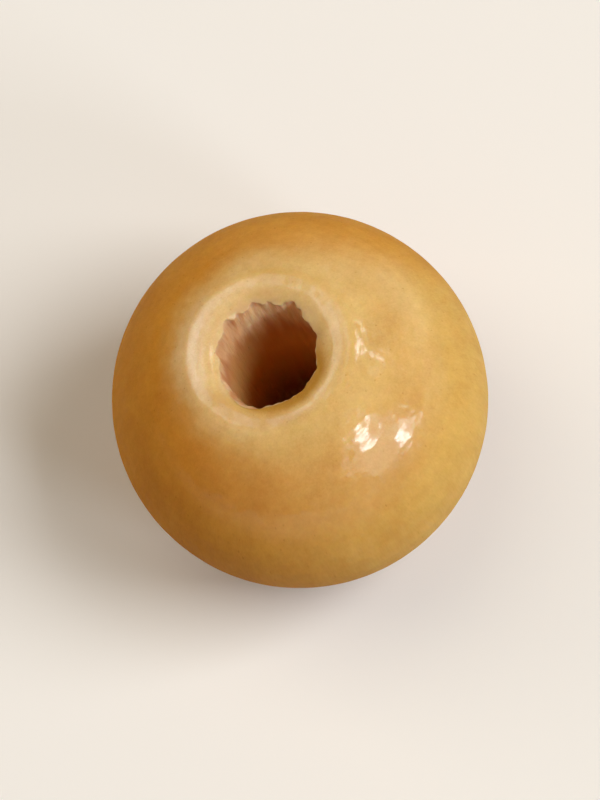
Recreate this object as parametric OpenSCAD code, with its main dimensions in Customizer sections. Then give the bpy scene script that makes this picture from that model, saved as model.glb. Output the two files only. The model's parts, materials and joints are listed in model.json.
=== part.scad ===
// Turned wooden bead: a ball with a small flat land on each end and a bore right through it.
// Millimetres. The origin is the middle of the bead, and the bore runs along Z.

/* [Ball] */
// Diameter of the ball that the bead is turned to
ball_d = 20; // [14:0.5:40]
// Radius of the rounded shoulder between the ball and the land on each end
shoulder_r = 1.1; // [0.4:0.1:2]

/* [Bore] */
// Diameter of the bore
bore_d = 5.4; // [3:0.1:8]

/* [Ends] */
// Width of the rolled lip, from the wall of the bore out to the land
lip_w = 0.95; // [0.6:0.05:1.6]
// How far the lip drops from the land to the edge of the bore
lip_drop = 0.42; // [0.2:0.02:0.56]
// Width of the flat land that the bead stands on
land_w = 0.45; // [0.2:0.05:1.2]

/* [Torn mouths] */
// How far the largest tear bites into the wall of the bore, at the edge of the lip
tear_reach = 0.24; // [0.1:0.02:0.4]
// Width of the largest tear, at the edge of the lip
tear_w = 0.9; // [0.5:0.05:1.4]
// How far the largest tear runs down the wall of the bore from the edge of the lip
tear_run = 2.2; // [0.8:0.1:4]

/* [Hidden] */
$fn = 144;

ball_r = ball_d / 2;
bore_r = bore_d / 2;
land_in_r = bore_r + lip_w;
land_out_r = land_in_r + land_w;
// The shoulder is tangent to the ball and to the land, and that sets the bead's length
shoulder_z = sqrt(pow(ball_r - shoulder_r, 2) - pow(land_out_r, 2));
shoulder_turn = atan2(shoulder_z, land_out_r);
half_l = shoulder_z + shoulder_r;
// The lip is one arc, tangent to the land, that ends on the wall of the bore
lip_r = (pow(lip_w, 2) + pow(lip_drop, 2)) / (2 * lip_drop);
mouth_z = half_l - lip_drop;
// How far a cutter runs on past what it cuts
clear = 0.5;
// The width that a tear would keep if it had no depth, as a share of the largest tear's
tear_w_kept = 0.4;
// Each round is this much larger than a tangent one, so that it crosses the faces beside it cleanly
proud = 0.002;

// The tears: where each one lies round the bore, in degrees, and its size as a share of the largest.
// They lie close together on the side where the drill pulled the grain out.
TOP_TEARS = [
    [-163, 0.3], [24, 0.45], [35, 1], [58, 0.35], [76, 0.75], [97, 0.4], [112, 0.9], [143, 0.55], [177, 0.35]
];
FOOT_TEARS = [[10, 0.5], [64, 0.8], [97, 0.45], [171, 0.6], [236, 0.9], [262, 0.5], [318, 0.7]];

// The corner between the ball and the land, outside the rounded shoulder
module shoulder_cut() {
    far = 2 * shoulder_r;
    translate([land_out_r, shoulder_z]) difference() {
        polygon([[0, 0], far * [cos(shoulder_turn), sin(shoulder_turn)], [0, far]]);
        circle(shoulder_r + proud);
    }
}

// The corner between the land and the bore, above the rolled lip
module lip_cut() {
    translate([land_in_r, half_l - lip_r]) difference() {
        translate([-lip_w - clear, 0]) square([lip_w + clear, lip_r + clear]);
        circle(lip_r + proud);
    }
}

// Half of the bead's section: the ball, faced off at both ends and bored, with its corners turned away
module section() {
    difference() {
        intersection() {
            circle(ball_r);
            translate([bore_r, -half_l]) square([ball_r, 2 * half_l]);
        }
        for (end = [0, 1]) mirror([0, end]) {
            shoulder_cut();
            lip_cut();
        }
    }
}

// One tear: a round-bottomed bite, deepest where it opens on the lip, that runs out down the bore
module tear(turn, share) {
    reach = share * tear_reach;
    run = share * tear_run;
    half_w = tear_w / 2 * (tear_w_kept + (1 - tear_w_kept) * share);
    // The bite's depth from the chord that joins its two edges, and the radius of the cutter that makes it
    deep = reach + bore_r - sqrt(pow(bore_r, 2) - pow(half_w, 2));
    cutter_r = (pow(half_w, 2) + pow(deep, 2)) / (2 * deep);
    rotate([0, 0, turn]) translate([bore_r, 0, mouth_z - run]) rotate([0, atan2(reach, run), 0])
        translate([-cutter_r, 0, -clear]) cylinder(r = cutter_r, h = run + lip_drop + 2 * clear);
}

module bead() {
    color("burlywood") difference() {
        rotate_extrude() section();
        for (t = TOP_TEARS) tear(t[0], t[1]);
        for (t = FOOT_TEARS) mirror([0, 0, 1]) tear(t[0], t[1]);
    }
}

bead();
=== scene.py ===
"""A turned and lacquered wooden bead, standing on one end on a pale floor.

The bead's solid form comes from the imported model. This script makes the bead that is seen: the same
turned section, with the real one's rippled lacquer, its grain and its torn mouths.
Lengths are in metres, the bore runs along Z, and the middle of the bead is the origin.
"""
import json
import math

import bpy
import numpy as np
from mathutils import Matrix, Vector, noise


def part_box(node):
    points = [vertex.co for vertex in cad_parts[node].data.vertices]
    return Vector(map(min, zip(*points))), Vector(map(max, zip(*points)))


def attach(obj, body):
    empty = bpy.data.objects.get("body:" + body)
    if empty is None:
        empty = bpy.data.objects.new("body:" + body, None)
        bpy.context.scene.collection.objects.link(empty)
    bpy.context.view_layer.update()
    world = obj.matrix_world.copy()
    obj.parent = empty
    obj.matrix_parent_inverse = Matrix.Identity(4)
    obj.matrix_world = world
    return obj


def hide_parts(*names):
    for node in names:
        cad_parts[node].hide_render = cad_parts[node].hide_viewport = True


MM = 0.001

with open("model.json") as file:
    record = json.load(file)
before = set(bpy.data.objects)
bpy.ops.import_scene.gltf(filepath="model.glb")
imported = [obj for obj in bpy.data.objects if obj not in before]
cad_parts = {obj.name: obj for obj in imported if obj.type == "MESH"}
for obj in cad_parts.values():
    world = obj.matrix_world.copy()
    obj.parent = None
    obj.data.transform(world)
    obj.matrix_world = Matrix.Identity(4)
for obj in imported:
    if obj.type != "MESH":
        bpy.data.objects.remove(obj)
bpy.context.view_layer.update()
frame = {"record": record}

# ---------------------------------------------------------------- sizes, colours and sides

# From the frame
LOW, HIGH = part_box("bead")
BALL_R = HIGH.x
HALF_L = HIGH.z
BORE_R = next(m for m in frame["record"]["mounts"] if m["name"] == "bore")["dims"]["r_mm"] * MM
# The turned ends, as the solid has them
LIP_W = 0.95 * MM
LIP_DROP = 0.42 * MM
LAND_W = 0.45 * MM
SHOULDER_R = 1.1 * MM
LAND_IN_R = BORE_R + LIP_W
LAND_OUT_R = LAND_IN_R + LAND_W
SHOULDER_Z = HALF_L - SHOULDER_R
SHOULDER_TURN = math.atan2(SHOULDER_Z, LAND_OUT_R)
LIP_R = (LIP_W ** 2 + LIP_DROP ** 2) / (2 * LIP_DROP)
LIP_TURN = math.asin(LIP_W / LIP_R)
MOUTH_Z = HALF_L - LIP_DROP
# Steps in a full turn
STEPS_ROUND = 400

# The tears round each mouth: where each lies, in degrees, and its size as a share of the largest
TEAR_REACH = 0.24 * MM
TEAR_W = 0.9 * MM
TEAR_RUN = 2.2 * MM
# The width that a tear would keep if it had no depth, as a share of the largest tear's
TEAR_W_KEPT = 0.4
TOP_TEARS = (
    (-163, 0.3), (24, 0.45), (35, 1.0), (58, 0.35), (76, 0.75), (97, 0.4),
    (112, 0.9), (143, 0.55), (177, 0.35),
)
FOOT_TEARS = ((10, 0.5), (64, 0.8), (97, 0.45), (171, 0.6), (236, 0.9), (262, 0.5), (318, 0.7))
# Where lacquer has run in over the lip, in degrees, and how much of it, as a share of a full run. Where the
# share is negative, the edge is worn back
RUN_REACH = 0.40 * MM
RUN_W = 1.6 * MM
RUN_DROP = 1.6 * MM
TOP_RUNS = ((-31, 0.8), (-70, 0.3), (8, 0.5), (-125, -0.35), (-147, -0.95), (-173, -0.5))
FOOT_RUNS = ((130, 0.8), (158, 0.5))
# The sides of the two mouths where the lacquer has gathered inside the lip, in degrees. The lip is also
# painted deeper there, as painted shade
TOP_POOL_AND_SHADE = -92
FOOT_POOL_AND_SHADE = 140
# The fibres that the drill left standing proud of the bore's wall, or pulled out of it: their relief, how
# far they are drawn out along the bore, and for torn chips, coarse fibres and fine ones their share of the
# relief and their waves to the millimetre
FIBRE_RELIEF = 0.08 * MM
FIBRE_STRETCH = 3.2
FIBRES = ((1.0, (1.1, 1.1, 0.6)), (1.3, (3.0, 3.0, 1.0)), (0.3, (7.5, 7.5, 1.6)))
# The share of their relief that is left deep in the bore, and the share of it that a full run fills
DEEP_RELIEF = 0.3
FILLED_RELIEF = 0.8
# A bite of this depth has gone through the lacquer, which is thinner round the mouths than elsewhere
COAT_DEPTH = 0.03 * MM
# The lacquer's waves: a name, a length and a height. They fade in from the land outwards
RIPPLES = (("slow_waves", 2.6 * MM, 0.030 * MM), ("quick_waves", 0.8 * MM, 0.016 * MM))
FADE_IN = 1.5 * MM
# Points that lie closer than this are one point
MERGE = 0.001 * MM
# How far a point may lie above the edge of the bore and still count as on the wall
ON_WALL = 0.005 * MM
# Faces that meet at less than this are shaded as one surface
SMOOTH_ANGLE = math.radians(35)

# Colours, as linear light
HONEY = (0.73, 0.53, 0.235, 1)
# DEEP_HONEY and AMBER are painted shade: on the flanks, towards one side, and on the top side
DEEP_HONEY = (0.70, 0.455, 0.13, 1)
AMBER = (0.65, 0.285, 0.035, 1)
LATE_WOOD = (0.44, 0.18, 0.025, 1)
CREAM = (0.765, 0.585, 0.365, 1)
# The next colour is a painted highlight on two sides of the lands
PAINTED_SHEEN_CREAM = (0.88, 0.75, 0.60, 1)
# The next colour is pooled lacquer's amber, also used as painted shade on the lands and lips
POOL_AND_SHADE_AMBER = (0.50, 0.27, 0.05, 1)
FRAYED = (0.68, 0.44, 0.23, 1)
RAW_WOOD = (1.0, 0.71, 0.38, 1)
# RAW_DARK is the raw wood's late wood and also the bore's painted shade; RAW_DEEP is a red painted deep in
# the bore for the light bounced there
RAW_DARK = (0.54, 0.22, 0.085, 1)
RAW_DEEP = (0.98, 0.52, 0.15, 1)
PALE = (0.92, 0.91, 0.90, 1)
BOUNCE = (0.50, 0.34, 0.20, 1)
# How fast the wood's red, green and blue fall as it darkens, and the level that none falls below
DARKENING = (0.65, 1.0, 1.5)
DARKEST = 0.02

# In millimetres: the way to the bead from the pith of the tree, and the width of a growth ring
FROM_PITH = (19, -24, 0)
RING_W = 3.4
# How high the lacquer's fine ripple and the raw wood's open grain seem to stand
RIPPLE_HEIGHT = 0.045 * MM
GRAIN_HEIGHT = 0.06 * MM

# Sides of the bead, as ways out from the bore, that its colour differs on. All but the torn side are sides of
# painted shade or painted highlights
PAINTED_SHADE_SIDE = (-0.85, 0.52, 0.10)
TOP_SHADE_SIDE = (0.64, 0.77, 0)
HIGHLIGHT_SIDE = (-0.84, 0.54, 0)
SECOND_HIGHLIGHT_SIDE = (0.99, -0.05, 0)
RING_HIGHLIGHT_SIDE = (-0.98, 0.17, 0)
RING_SHADE_SIDE = (-0.45, 0.89, 0)
LOW_RING_SHADE_SIDE = (-0.68, -0.73, 0)
LIP_SHADE_SIDE = (-0.76, -0.65, 0)
TORN_SIDE = (0.42, 0.91, 0)
WALL_SHADE_SIDE = (-0.64, 0.77, 0)


# ---------------------------------------------------------------- the bead's form

def draw_to(x, z, steps):
    """Extrudes the drawn outline's last point to (x, z) in equal steps."""
    last = Vector((draw_to.x, 0, draw_to.z))
    step = (Vector((x, 0, z)) - last) / steps
    for _ in range(steps):
        bpy.ops.mesh.extrude_region_move(TRANSFORM_OT_translate={"value": step})
    draw_to.x, draw_to.z = x, z


def draw_arc(x, z, turn, steps):
    """Spins the outline's last point about (x, z) in the XZ plane. A positive turn goes from X to Z."""
    bpy.ops.mesh.spin(steps=steps, angle=turn, center=(x, 0, z), axis=(0, 1, 0))
    at = Vector((draw_to.x - x, draw_to.z - z))
    c, s = math.cos(turn), math.sin(turn)
    draw_to.x, draw_to.z = x + c * at.x - s * at.y, z + s * at.x + c * at.y


def turned_bead():
    """Draws half of the section from the middle of the bore out to the ball's waist, and turns it."""
    bpy.ops.object.select_all(action="DESELECT")
    bpy.ops.mesh.primitive_plane_add(size=MM, location=(BORE_R, 0, 0))
    piece = bpy.context.object
    piece.name = piece.data.name = "turned_bead"
    bpy.ops.object.transform_apply(location=True, rotation=True, scale=True)
    bpy.ops.object.mode_set(mode="EDIT")
    bpy.ops.mesh.select_all(action="SELECT")
    bpy.ops.mesh.merge(type="CENTER")
    draw_to.x, draw_to.z = BORE_R, 0
    draw_to(BORE_R, MOUTH_Z - TEAR_RUN, steps=10)
    draw_to(BORE_R, MOUTH_Z, steps=20)
    draw_arc(LAND_IN_R, HALF_L - LIP_R, -LIP_TURN, steps=16)
    draw_to(LAND_OUT_R, HALF_L, steps=3)
    draw_arc(LAND_OUT_R, SHOULDER_Z, SHOULDER_TURN - math.pi / 2, steps=8)
    draw_arc(0, 0, -SHOULDER_TURN, steps=60)
    bpy.ops.mesh.select_all(action="SELECT")
    bpy.ops.mesh.duplicate()
    bpy.ops.transform.resize(value=(1, 1, -1), center_override=(0, 0, 0))
    bpy.ops.mesh.select_all(action="SELECT")
    bpy.ops.mesh.remove_doubles(threshold=MERGE)
    bpy.ops.mesh.spin(steps=STEPS_ROUND, angle=2 * math.pi, center=(0, 0, 0), axis=(0, 0, 1))
    bpy.ops.mesh.select_all(action="SELECT")
    bpy.ops.mesh.remove_doubles(threshold=MERGE)
    bpy.ops.mesh.normals_make_consistent(inside=False)
    bpy.ops.object.mode_set(mode="OBJECT")
    return piece


def round_edge(turn, at):
    """How far each angle lies from one that is given in degrees, round the edge of the bore."""
    return ((turn - math.radians(at) + math.pi) % (2 * math.pi) - math.pi) * BORE_R


def tear_depth(turn, above, tears):
    """How far the wood is bitten away, out from the bore's wall, at each angle and height over the mouth."""
    depth = np.zeros(len(turn))
    for at, share in tears:
        across = round_edge(turn, at) / (TEAR_W / 2 * (TEAR_W_KEPT + (1 - TEAR_W_KEPT) * share))
        fade = np.maximum(1 + above / (share * TEAR_RUN), 0)
        depth = np.maximum(depth, share * TEAR_REACH * (1 - across ** 2) * fade)
    return depth


def run_height(turn, runs):
    """How far lacquer stands in from the edge of the bore at each angle, less where the edge is worn back."""
    height = np.zeros(len(turn))
    for at, share in runs:
        height += share * RUN_REACH * np.exp(-(round_edge(turn, at) / (RUN_W / 2)) ** 2)
    return height


def fibre_relief(place):
    """How far the fibres stand out or in at each place, by noise that is drawn out along the bore."""
    points = place / MM * (1.0, 1.0, 1 / FIBRE_STRETCH)
    relief = np.zeros(len(points))
    for share, waves in FIBRES:
        relief += share * np.array([noise.noise(p) for p in points * waves])
    return relief


def mark_points(mesh, name, chosen, values):
    """Writes a value for each chosen point of a mesh, as an attribute that is 0 elsewhere."""
    every = np.zeros(len(mesh.vertices), dtype=np.float32)
    every[chosen] = values
    mesh.attributes.new(name, "FLOAT", "POINT").data.foreach_set("value", every)


def tear_mouths(piece):
    """Moves each mouth's points to or from the bore's middle, and marks bared wood, and the side of each lip
    where lacquer gathered, which is also painted shade.
    """
    mesh = piece.data
    every = np.array([v.co for v in mesh.vertices])
    chosen = np.flatnonzero(np.hypot(every[:, 0], every[:, 1]) < LAND_IN_R)
    place = every[chosen]
    out = np.hypot(place[:, 0], place[:, 1])
    turn = np.arctan2(place[:, 1], place[:, 0])
    above = np.abs(place[:, 2]) - MOUTH_Z
    on_top = place[:, 2] > 0
    on_wall = above < ON_WALL

    # Lacquer that ran in over the lip, thinning down the wall and out over the lip
    run = np.where(on_top, run_height(turn, TOP_RUNS), run_height(turn, FOOT_RUNS))
    over_lip = 1 - np.clip((out - BORE_R) / LIP_W, 0, 1)
    down_wall = 1 - np.clip(-above / RUN_DROP, 0, 1)
    # Wood that the drill tore out
    tears = np.where(on_top, tear_depth(turn, above, TOP_TEARS), tear_depth(turn, above, FOOT_TEARS))
    torn = np.clip(1 + above / (2 * TEAR_RUN), DEEP_RELIEF, 1)
    torn *= 1 - FILLED_RELIEF * np.clip(run / RUN_REACH, 0, 1)
    depth = tears + FIBRE_RELIEF * torn * fibre_relief(place)
    moved = np.where(on_wall, depth, np.maximum(depth - (out - BORE_R), 0))
    shift = moved - run * over_lip ** 2 * down_wall ** 2
    every[chosen, 0] += np.cos(turn) * shift
    every[chosen, 1] += np.sin(turn) * shift
    mesh.vertices.foreach_set("co", every.astype(np.float32).ravel())
    mark_points(mesh, "bare", chosen, np.where(on_wall, 1, np.clip(moved / COAT_DEPTH, 0, 1)))
    # The side of each lip that is painted deeper: pooled lacquer, and painted shade
    pool_and_shade = np.cos(turn - np.radians(np.where(on_top, TOP_POOL_AND_SHADE, FOOT_POOL_AND_SHADE)))
    mark_points(mesh, "pooled_and_shaded", chosen, np.clip(pool_and_shade, 0, 1) * over_lip * down_wall)
    mesh.update()


def ripple_lacquer(piece):
    """The lacquer's waves, as displacements by clouds that are then applied. The lands stay flat."""
    lacquered = piece.vertex_groups.new(name="lacquered")
    for point in piece.data.vertices:
        beyond_land = math.hypot(point.co.x, point.co.y) - LAND_OUT_R
        if beyond_land > 0:
            lacquered.add([point.index], min(1, beyond_land / FADE_IN), "REPLACE")
    bpy.context.view_layer.objects.active = piece
    for name, length, height in RIPPLES:
        waves = bpy.data.textures.new(name, "CLOUDS")
        waves.noise_scale = length
        waves.noise_depth = 1
        push = piece.modifiers.new(name, "DISPLACE")
        push.texture = waves
        push.texture_coords = "LOCAL"
        push.strength = -height
        push.mid_level = 0
        push.vertex_group = "lacquered"
        bpy.ops.object.modifier_apply(modifier=name)


# ---------------------------------------------------------------- materials

def put(tree, kind, inputs=None, **settings):
    """Adds a node, with its settings and with its inputs set to values or linked from sockets."""
    made = tree.nodes.new(kind)
    for name, value in settings.items():
        setattr(made, name, value)
    for name, value in (inputs or {}).items():
        if isinstance(value, bpy.types.NodeSocket):
            tree.links.new(value, made.inputs[name])
        else:
            made.inputs[name].default_value = value
    return made


def maths(tree, operation, *values):
    return put(tree, "ShaderNodeMath", dict(enumerate(values)), operation=operation).outputs[0]


def times(tree, vector, factors):
    return put(tree, "ShaderNodeVectorMath", {0: vector, 1: factors}, operation="MULTIPLY").outputs[0]


def length_of(tree, vector):
    return put(tree, "ShaderNodeVectorMath", {0: vector}, operation="LENGTH").outputs["Value"]


def towards(tree, place, side):
    """How far a place lies towards one side of the bead."""
    return put(tree, "ShaderNodeVectorMath", {0: place, 1: side}, operation="DOT_PRODUCT").outputs["Value"]


def noise_at(tree, place, waves, detail=2.0, roughness=0.5):
    """Noise of a place in millimetres, with so many waves to the millimetre each way."""
    return put(tree, "ShaderNodeTexNoise", {
        "Vector": times(tree, place, waves), "Scale": 1.0, "Detail": detail, "Roughness": roughness,
    }).outputs["Fac"]


def blend(tree, factor, first, second, how="MIX"):
    return put(tree, "ShaderNodeMix", {0: factor, 6: first, 7: second},
               data_type="RGBA", blend_type=how).outputs[2]


def remap(tree, value, low, high, new_low=0.0, new_high=1.0, how="LINEAR"):
    return put(tree, "ShaderNodeMapRange", {
        "Value": value, "From Min": low, "From Max": high, "To Min": new_low, "To Max": new_high,
    }, interpolation_type=how).outputs[0]


def curve_of(tree, value, stops):
    """A grey that runs through the given stops, each a place and a level."""
    made = put(tree, "ShaderNodeValToRGB", {0: value})
    points = made.color_ramp.elements
    while len(points) < len(stops):
        points.new(0.5)
    for point, (at, level) in zip(points, stops):
        point.position = at
        point.color = (level, level, level, 1)
    return made.outputs[0]


def warm_shade(tree, shade):
    """A tint from a brightness near 1, in which what is darker is also redder."""
    over = maths(tree, "SUBTRACT", shade, 1.0)
    red, green, blue = (maths(tree, "MULTIPLY_ADD", over, much, 1.0) for much in DARKENING)
    tint = put(tree, "ShaderNodeCombineColor", {0: red, 1: green, 2: blue}).outputs[0]
    return put(tree, "ShaderNodeVectorMath", {0: tint, 1: (DARKEST,) * 3}, operation="MAXIMUM").outputs[0]


def make_group(name, inputs, outputs):
    tree = bpy.data.node_groups.new(name, "ShaderNodeTree")
    for label, kind in inputs:
        tree.interface.new_socket(label, in_out="INPUT", socket_type="NodeSocket" + kind)
    for label, kind in outputs:
        tree.interface.new_socket(label, in_out="OUTPUT", socket_type="NodeSocket" + kind)
    return tree, tree.nodes.new("NodeGroupInput").outputs, tree.nodes.new("NodeGroupOutput").inputs


def timber_group():
    """Close-grained wood with its grain along Z: soft growth rings, fibres, and short dark pores."""
    tree, given, result = make_group(
        "timber",
        [("Place", "Vector"), ("Wood", "Color"), ("Late wood", "Color"),
         ("Ring strength", "Float"), ("Fibre strength", "Float"), ("Thread strength", "Float"),
         ("Pore strength", "Float")],
        [("Color", "Color"), ("Grain", "Float")],
    )
    place = given["Place"]
    # Growth rings, about a pith that lies well outside the bead
    in_tree = put(tree, "ShaderNodeVectorMath", {0: place, 1: FROM_PITH}, operation="ADD").outputs[0]
    from_pith = length_of(tree, times(tree, in_tree, (1, 1, 0.05)))
    from_pith = maths(tree, "MULTIPLY_ADD", noise_at(tree, place, (0.1, 0.1, 0.04), 1.5), 8.0, from_pith)
    from_pith = maths(tree, "MULTIPLY_ADD", noise_at(tree, place, (0.9, 0.9, 0.2)), 0.7, from_pith)
    ring = maths(tree, "FRACT", maths(tree, "DIVIDE", from_pith, RING_W))
    late = curve_of(tree, ring, [(0, 0.5), (0.1, 0.1), (0.45, 0), (0.8, 0.4), (0.94, 0.9), (1, 0.5)])
    fading = remap(tree, noise_at(tree, place, (0.16, 0.16, 0.12)), 0.38, 0.62, 0.15, 1.0)
    late = maths(tree, "MULTIPLY", late, maths(tree, "MULTIPLY", fading, given["Ring strength"]))
    wood = blend(tree, late, given["Wood"], given["Late wood"])
    # Fibres, and a slow mottling
    fibre = noise_at(tree, place, (2.6, 2.6, 0.3), 4.0, 0.65)
    thread = noise_at(tree, place, (11.0, 11.0, 1.0), 2.0)
    streak = maths(tree, "MULTIPLY", remap(tree, fibre, 0.25, 0.75, -0.5, 0.5), given["Fibre strength"])
    streak = maths(tree, "MULTIPLY_ADD", remap(tree, thread, 0.3, 0.7, -0.3, 0.3),
                   given["Thread strength"], streak)
    mottle = remap(tree, noise_at(tree, place, (0.45, 0.45, 0.3), 3.0), 0.3, 0.7, 0.92, 1.08)
    shade = maths(tree, "ADD", streak, mottle)
    # Pores: short dark dashes along the grain
    cells = times(tree, place, (2.6, 2.6, 0.38))
    nearest = put(tree, "ShaderNodeTexVoronoi", {"Vector": cells, "Scale": 1.0}).outputs
    kept = put(tree, "ShaderNodeSeparateColor", {0: nearest["Color"]}).outputs[0]
    pore = maths(tree, "MULTIPLY", remap(tree, nearest["Distance"], 0.04, 0.16, 1.0, 0.0),
                 remap(tree, kept, 0.35, 0.8, 0.0, 1.0))
    shade = maths(tree, "SUBTRACT", shade, maths(tree, "MULTIPLY", pore, given["Pore strength"]))
    tree.links.new(blend(tree, 1.0, wood, warm_shade(tree, shade), "MULTIPLY"), result["Color"])
    tree.links.new(maths(tree, "SUBTRACT", streak, pore), result["Grain"])
    return tree


def start_material(name):
    material = bpy.data.materials.new(name)
    material.use_nodes = True
    tree = material.node_tree
    return material, tree, tree.nodes["Principled BSDF"].inputs


def with_grain(tree, timber, place, wood, late_wood, rings, fibres, threads, pores):
    """A wood's colour with its grain, and the grain's height, by the timber group."""
    return put(tree, "ShaderNodeGroup", {
        "Place": place, "Wood": wood, "Late wood": late_wood, "Ring strength": rings,
        "Fibre strength": fibres, "Thread strength": threads, "Pore strength": pores,
    }, node_tree=timber).outputs


def coat_tone(tree, place, out, cloud):
    """The coated wood's colour without its grain, with its painted shade and painted highlights, and how pale
    each place is for lying near a mouth.
    """
    # The coat is painted deeper towards the waist and on the flanks, as painted shade, most of all towards
    # one side, and the top side is painted darker too, also painted shade
    drift = noise_at(tree, place, (0.12, 0.12, 0.08), 2.0)
    side_shade = maths(tree, "MULTIPLY_ADD", drift, 5.0, towards(tree, place, PAINTED_SHADE_SIDE))
    side_shade = remap(tree, side_shade, -4.5, 7.5, 0.15, 1.0)
    flank = maths(tree, "MULTIPLY_ADD", cloud, 1.2, maths(tree, "MULTIPLY_ADD", side_shade, 1.6, out))
    flank = remap(tree, flank, 5.7, 8.6, how="SMOOTHSTEP")
    waist = remap(tree, maths(tree, "MULTIPLY_ADD", cloud, 1.2, out), 7.6, 9.9, how="SMOOTHSTEP")
    tone = blend(tree, waist, HONEY, DEEP_HONEY)
    tone = blend(tree, maths(tree, "MULTIPLY", side_shade, flank), tone, AMBER)
    # Painted shade on the top side
    top_shade = remap(tree, towards(tree, place, TOP_SHADE_SIDE), 4.5, 8.4, 0.0, 0.9, "SMOOTHSTEP")
    tone = blend(tree, top_shade, tone, AMBER)

    # The lands and lips are paler. Towards one side the paleness reaches further out, a painted highlight; on
    # two other sides it is weaker, painted shade; and on the lip it stays full only on the side that faces
    # the light, painted light
    to_highlight = towards(tree, place, HIGHLIGHT_SIDE)
    pale = maths(tree, "MULTIPLY_ADD", cloud, 0.7, out)
    pale = maths(tree, "MULTIPLY_ADD", towards(tree, place, RING_HIGHLIGHT_SIDE), -0.19, pale)
    # Painted shade: the paleness is weaker on two sides
    paleness = maths(tree, "MULTIPLY",
                     remap(tree, towards(tree, place, LOW_RING_SHADE_SIDE), -1.0, 3.5, 1.0, 0.4),
                     remap(tree, towards(tree, place, RING_SHADE_SIDE), 0.5, 3.5, 1.0, 0.7))
    pale = remap(tree, pale, 4.85, 3.95, 0.0, paleness, "SMOOTHSTEP")
    # Painted light: on the lip the paleness stays full only towards the side that faces the light
    on_lip = remap(tree, out, 3.75, 3.15, 1.0, remap(tree, to_highlight, 0.5, 3.0, 0.35, 1.0), "SMOOTHSTEP")
    pale = maths(tree, "MULTIPLY", pale, on_lip)
    tone = blend(tree, pale, tone, CREAM)

    # Two sides of each land are painted paler still, as painted highlights
    painted_sheen = maths(tree, "MULTIPLY", remap(tree, out, 4.5, 3.9, 0.0, 0.6, "SMOOTHSTEP"),
                 remap(tree, out, 3.0, 3.5, 0.15, 1.0, "SMOOTHSTEP"))
    second = remap(tree, towards(tree, place, SECOND_HIGHLIGHT_SIDE), 3.2, 4.0, 0.0, 0.45, "SMOOTHSTEP")
    sides = maths(tree, "MAXIMUM", remap(tree, to_highlight, 2.9, 3.9, how="SMOOTHSTEP"), second)
    tone = blend(tree, maths(tree, "MULTIPLY", painted_sheen, sides), tone, PAINTED_SHEEN_CREAM)

    # The land and lip are painted deeper on another side, as painted shade, and deepest inside the lip on the
    # side where lacquer has gathered, which is partly painted shade of the lip turning from the light
    lip_shade = maths(tree, "MULTIPLY", remap(tree, out, 4.5, 3.9, how="SMOOTHSTEP"),
                 remap(tree, towards(tree, place, LIP_SHADE_SIDE), 2.2, 3.3, 0.0, 0.4, "SMOOTHSTEP"))
    tone = blend(tree, lip_shade, tone, POOL_AND_SHADE_AMBER)
    pooled_and_shaded = put(tree, "ShaderNodeAttribute", attribute_name="pooled_and_shaded").outputs["Fac"]
    tone = blend(tree, remap(tree, pooled_and_shaded, 0.07, 0.60, how="SMOOTHSTEP"), tone, POOL_AND_SHADE_AMBER)
    return tone, pale


def bore_tone(tree, place, inside, to_torn, tufts, raw_wood):
    """The raw wood's colour in the bore, pale where the tufts stand, with painted shade: darker with depth,
    ragged along the tufts and shallower on the torn side, darker in the gaps and on one side, and a strong
    red deep down painted for the light bounced there.
    """
    # Painted shade down the bore, ragged along the tufts and shallower on the torn side
    ragged = maths(tree, "MULTIPLY_ADD", tufts, -5.0, inside)
    ragged = maths(tree, "ADD", ragged, remap(tree, to_torn, 0.0, 2.6, 2.4, -0.9))
    deep = remap(tree, ragged, -2.4, 1.9, 0.0, 1.0, "SMOOTHSTEP")
    # Painted shade in the gaps between the tufts near the mouth
    gaps = maths(tree, "MULTIPLY", remap(tree, tufts, 0.56, 0.40), remap(tree, inside, 0.1, 0.9))
    gaps = maths(tree, "MULTIPLY", gaps, remap(tree, to_torn, 0.8, 2.5, 0.7, 0.0))
    # Painted shade on one side of the wall
    wall_shade = remap(tree, towards(tree, place, WALL_SHADE_SIDE), 1.6, 2.5, 0.0, 0.70)
    deep = maths(tree, "MAXIMUM", maths(tree, "MAXIMUM", deep, gaps), wall_shade)
    tone = blend(tree, deep, raw_wood, RAW_DARK)
    # Deep down, a strong red painted for the warm light that bounces in the bore
    return blend(tree, remap(tree, inside, 2.5, 7.0), tone, RAW_DEEP)


def lacquer_height(tree, place, lathe, out, pale):
    """The lacquer's fine ripple, drawn out along the turning, with the grain that shows where it is pale."""
    ripple = noise_at(tree, place, (1.3, 1.3, 1.3), 1.0, 0.4)
    ripple = maths(tree, "MULTIPLY_ADD", noise_at(tree, lathe, (0.8, 0.8, 3.4), 1.0), 0.25, ripple)
    end_grain = maths(tree, "MULTIPLY", noise_at(tree, place, (8.0, 8.0, 8.0), 1.0), pale)
    ripple = maths(tree, "MULTIPLY_ADD", end_grain, 0.16, ripple)
    # The lacquer draws back from the land's two edges, which leaves it crowned there
    off_land = maths(tree, "SUBTRACT", out, (LAND_IN_R + LAND_OUT_R) / 2 / MM)
    crown = maths(tree, "MULTIPLY", maths(tree, "MULTIPLY", off_land, off_land), -5.0)
    return maths(tree, "MULTIPLY_ADD", maths(tree, "EXPONENT", crown), 0.55, ripple)


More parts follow.
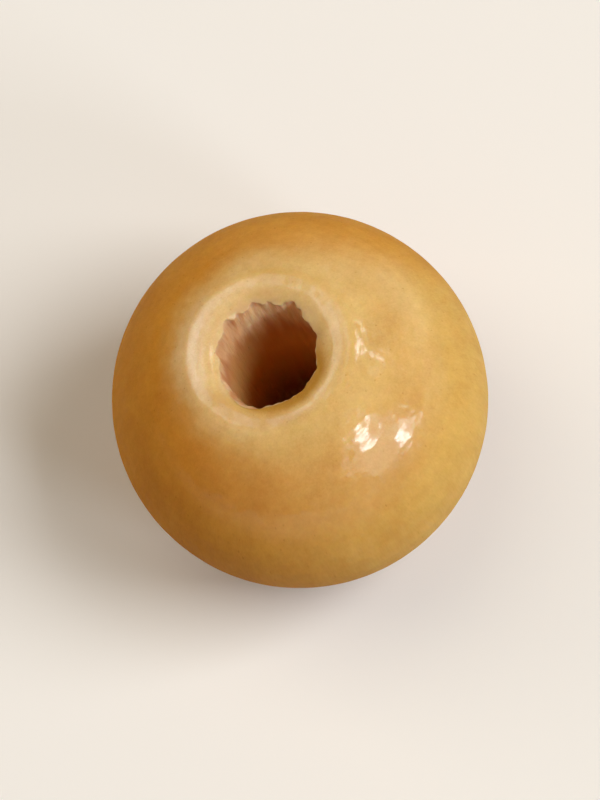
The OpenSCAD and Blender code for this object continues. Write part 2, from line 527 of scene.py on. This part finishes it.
def lacquered_wood():
    """Honey-coloured lacquered wood, and raw wood where the bead's "bare" mark says so."""
    material, tree, shader = start_material("lacquered_wood")
    # Where a place lies, in millimetres: out from the bore's axis, and in from the edge of the nearer mouth
    there = put(tree, "ShaderNodeTexCoord").outputs["Object"]
    place = put(tree, "ShaderNodeVectorMath", {0: there, "Scale": 1 / MM}, operation="SCALE").outputs[0]
    height = maths(tree, "ABSOLUTE", put(tree, "ShaderNodeSeparateXYZ", {0: place}).outputs[2])
    out = length_of(tree, times(tree, place, (1, 1, 0)))
    inside = maths(tree, "SUBTRACT", MOUTH_Z / MM, height)
    # And where it lies on the lathe: its way round, and its way along the turned outline
    along = maths(tree, "MULTIPLY", maths(tree, "ARCTAN2", height, out), BALL_R / MM)
    lathe = put(tree, "ShaderNodeVectorMath", {
        0: times(tree, place, (1, 1, 0)),
        1: put(tree, "ShaderNodeCombineXYZ", {2: along}).outputs[0],
    }, operation="ADD").outputs[0]

    # The coated wood, with faint bands from the turning, and the raw wood
    timber = timber_group()
    cloud = noise_at(tree, place, (0.7, 0.7, 0.7))
    tone, pale = coat_tone(tree, place, out, cloud)
    finished = with_grain(tree, timber, place, tone, LATE_WOOD, 0.20, 0.17, 0.17, 0.24)
    raw = with_grain(tree, timber, place, RAW_WOOD, RAW_DARK, 0.30, 0.45, 0.30, 0.25)
    turning = noise_at(tree, lathe, (0.06, 0.06, 1.3), 3.0, 0.6)
    bands = remap(tree, turning, 0.3, 0.7, 0.965, 1.035)
    coat = blend(tree, 1.0, finished["Color"], warm_shade(tree, bands), "MULTIPLY")

    # The drill tore the wood furthest down on one side, and left the coat thin and frayed over the lip there
    to_torn = towards(tree, place, TORN_SIDE)
    tufts = noise_at(tree, place, (1.9, 1.9, 0.16), 1.0, 0.35)
    fray = remap(tree, maths(tree, "MULTIPLY_ADD", tufts, 1.1, out), 3.8, 3.2, how="SMOOTHSTEP")
    fray = maths(tree, "MULTIPLY", fray, remap(tree, to_torn, 0.6, 1.8, 0.0, 0.8))
    mark = put(tree, "ShaderNodeAttribute", attribute_name="bare").outputs["Fac"]
    uncoated = maths(tree, "MAXIMUM", mark, fray)
    coat = blend(tree, uncoated, coat, FRAYED)

    # The lacquer crept into the mouth and ends in a ragged edge, beyond which the wood is raw
    crept = maths(tree, "MULTIPLY_ADD", noise_at(tree, place, (2.2, 2.2, 0.6)), -1.2, inside)
    bare = maths(tree, "MULTIPLY", mark, remap(tree, crept, -0.65, -0.25))
    bored = bore_tone(tree, place, inside, to_torn, tufts, raw["Color"])
    tree.links.new(blend(tree, bare, coat, bored), shader["Base Color"])
    gloss = remap(tree, cloud, 0.3, 0.7, 0.30, 0.40)
    tree.links.new(put(tree, "ShaderNodeMix", {0: bare, 2: gloss, 3: 0.8}).outputs[0], shader["Roughness"])

    # The ripple lies over the whole bead, and the raw wood's open grain shows in the bore alone
    ripple = put(tree, "ShaderNodeBump", {
        "Height": lacquer_height(tree, place, lathe, out, pale), "Distance": RIPPLE_HEIGHT,
        "Strength": 1.0,
    }).outputs[0]
    grain = put(tree, "ShaderNodeBump", {
        "Height": maths(tree, "MULTIPLY", raw["Grain"], bare), "Distance": GRAIN_HEIGHT,
        "Strength": 1.0, "Normal": ripple,
    }).outputs[0]
    tree.links.new(grain, shader["Normal"])
    tree.links.new(ripple, shader["Coat Normal"])

    # The glossy coat is left out of the bore, and its gloss eases off at the bead's edge
    facing = put(tree, "ShaderNodeLayerWeight", {"Blend": 0.5}).outputs["Facing"]
    eased = remap(tree, facing, 0.2, 0.38, 1.0, 0.08)
    coated = maths(tree, "MULTIPLY", maths(tree, "SUBTRACT", 1.0, uncoated), eased)
    tree.links.new(coated, shader["Coat Weight"])
    shader["Coat Roughness"].default_value = 0.15
    shader["Coat IOR"].default_value = 1.5
    shader["Coat Tint"].default_value = (1.0, 0.93, 0.78, 1)
    shader["Specular IOR Level"].default_value = 0.0
    # Light soaks into the wood, and comes out redder
    shader["Subsurface Weight"].default_value = 0.6
    shader["Subsurface Radius"].default_value = (1.0, 0.42, 0.16)
    shader["Subsurface Scale"].default_value = 1.4 * MM
    return material


def pale_floor():
    """A floor that looks pale, and throws little light back on the bead."""
    material, tree, shader = start_material("pale_floor")
    seen = put(tree, "ShaderNodeLightPath").outputs
    looked_at = maths(tree, "MAXIMUM", seen["Is Camera Ray"], seen["Is Glossy Ray"])
    looked_at = maths(tree, "MAXIMUM", looked_at, seen["Is Transmission Ray"])
    tree.links.new(blend(tree, looked_at, BOUNCE, PALE), shader["Base Color"])
    shader["Roughness"].default_value = 0.9
    shader["Specular IOR Level"].default_value = 0.0
    return material


# ---------------------------------------------------------------- the scene

FLOOR_SIZE = 3.0
# The camera looks down past the mouth, turned so that the mouth lies up and to the left
LOOK_DOWN = math.radians(70.5)
ROLL = math.radians(-33)
DISTANCE = 250 * MM
LENS = 212
# How far each lamp stands from the bead, and the lamps' colours
LAMP_DISTANCE = 1.2
WHITE = (1.0, 0.99, 0.97)
WARM = (1.0, 0.84, 0.62)
COOL = (0.86, 0.94, 1.0)
# The even light of the room
ROOM = (1.0, 0.88, 0.72, 1)
ROOM_LEVEL = 0.14


def make_floor():
    bpy.ops.object.select_all(action="DESELECT")
    bpy.ops.mesh.primitive_plane_add(size=FLOOR_SIZE, location=(0, 0, LOW.z))
    floor = bpy.context.object
    floor.name = "floor"
    bpy.ops.object.transform_apply(location=True, rotation=True, scale=True)
    floor.data.materials.append(pale_floor())


def make_camera():
    back = Vector((0, -math.cos(LOOK_DOWN), math.sin(LOOK_DOWN)))
    axes = (-back).to_track_quat("-Z", "Y").to_matrix() @ Matrix.Rotation(ROLL, 3, "Z")
    data = bpy.data.cameras.new("camera")
    data.lens = LENS
    data.clip_start = 1 * MM
    data.clip_end = 10
    camera = bpy.data.objects.new("camera", data)
    camera.matrix_world = Matrix.Translation(back * DISTANCE) @ axes.to_4x4()
    bpy.context.scene.collection.objects.link(camera)
    bpy.context.scene.camera = camera
    return axes


def add_lamp(name, place, up, size, radiance, colour):
    """A lamp with a width and a height, aimed at the bead."""
    data = bpy.data.lights.new(name, "AREA")
    data.shape = "RECTANGLE"
    data.size, data.size_y = size
    data.energy = math.pi * radiance * data.size * data.size_y
    data.color = colour
    lamp = bpy.data.objects.new(name, data)
    front = place.normalized()
    across = up.cross(front).normalized()
    lamp.matrix_world = Matrix((across, front.cross(across), front)).transposed().to_4x4()
    lamp.location = place
    lamp.visible_camera = False
    bpy.context.scene.collection.objects.link(lamp)
    return lamp


def make_lights(axes):
    """Lamps placed from the bead by the camera's right, up and front: wide ones that light it or lay a
    sheen on its lacquer, and small ones that the lacquer mirrors as glints. Their widths and heights are
    shares of their distance."""
    for name, side, width, height, radiance, colour, lights, mirrored in (
        ("soft_key", (0.53, 0.22, 0.82), 0.50, 0.50, 9.4, WHITE, True, False),
        ("soft_fill", (-0.38, 0.46, 0.80), 0.66, 0.66, 1.5, WARM, True, False),
        ("low_fill", (-0.83, 0.47, 0.30), 0.66, 0.66, 1.15, WARM, True, False),
        ("soft_sheen", (-0.53, 0.50, 0.685), 0.44, 0.44, 2.2, COOL, False, True),
        ("ring_sheen", (-0.09, 0.58, 0.81), 0.22, 0.22, 1.5, COOL, False, True),
        ("soft_veil", (0.73, -0.44, 0.52), 0.60, 0.60, 2.1, COOL, False, True),
        ("lamp_a", (0.60, -0.33, 0.72), 0.13, 0.20, 20.0, COOL, True, True),
        ("lamp_b", (0.89, -0.31, 0.32), 0.20, 0.07, 26.0, COOL, False, True),
        ("lamp_c", (0.575, 0.47, 0.67), 0.09, 0.09, 18.0, COOL, False, True),
        ("lamp_d", (0.73, 0.39, 0.56), 0.08, 0.08, 13.0, COOL, False, True),
        ("lamp_e", (0.565, 0.61, 0.56), 0.09, 0.09, 9.0, COOL, False, True),
        ("lamp_f", (0.92, -0.17, 0.34), 0.28, 0.05, 9.0, COOL, False, True),
    ):
        side = (axes @ Vector(side)).normalized()
        size = (width * LAMP_DISTANCE, height * LAMP_DISTANCE)
        lamp = add_lamp(name, side * LAMP_DISTANCE, axes.col[1], size, radiance, colour)
        lamp.visible_diffuse = lights
        lamp.visible_glossy = mirrored


def make_world():
    world = bpy.data.worlds.new("studio")
    world.use_nodes = True
    back = world.node_tree.nodes["Background"].inputs
    back["Color"].default_value = ROOM
    back["Strength"].default_value = ROOM_LEVEL
    bpy.context.scene.world = world


bpy.context.scene.view_settings.view_transform = "Standard"
bead = turned_bead()
tear_mouths(bead)
ripple_lacquer(bead)
bpy.ops.object.select_all(action="DESELECT")
bead.select_set(True)
bpy.context.view_layer.objects.active = bead
bpy.ops.object.shade_smooth_by_angle(angle=SMOOTH_ANGLE)
bead.data.materials.append(lacquered_wood())
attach(bead, "root")
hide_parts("bead")

make_floor()
make_lights(make_camera())
make_world()
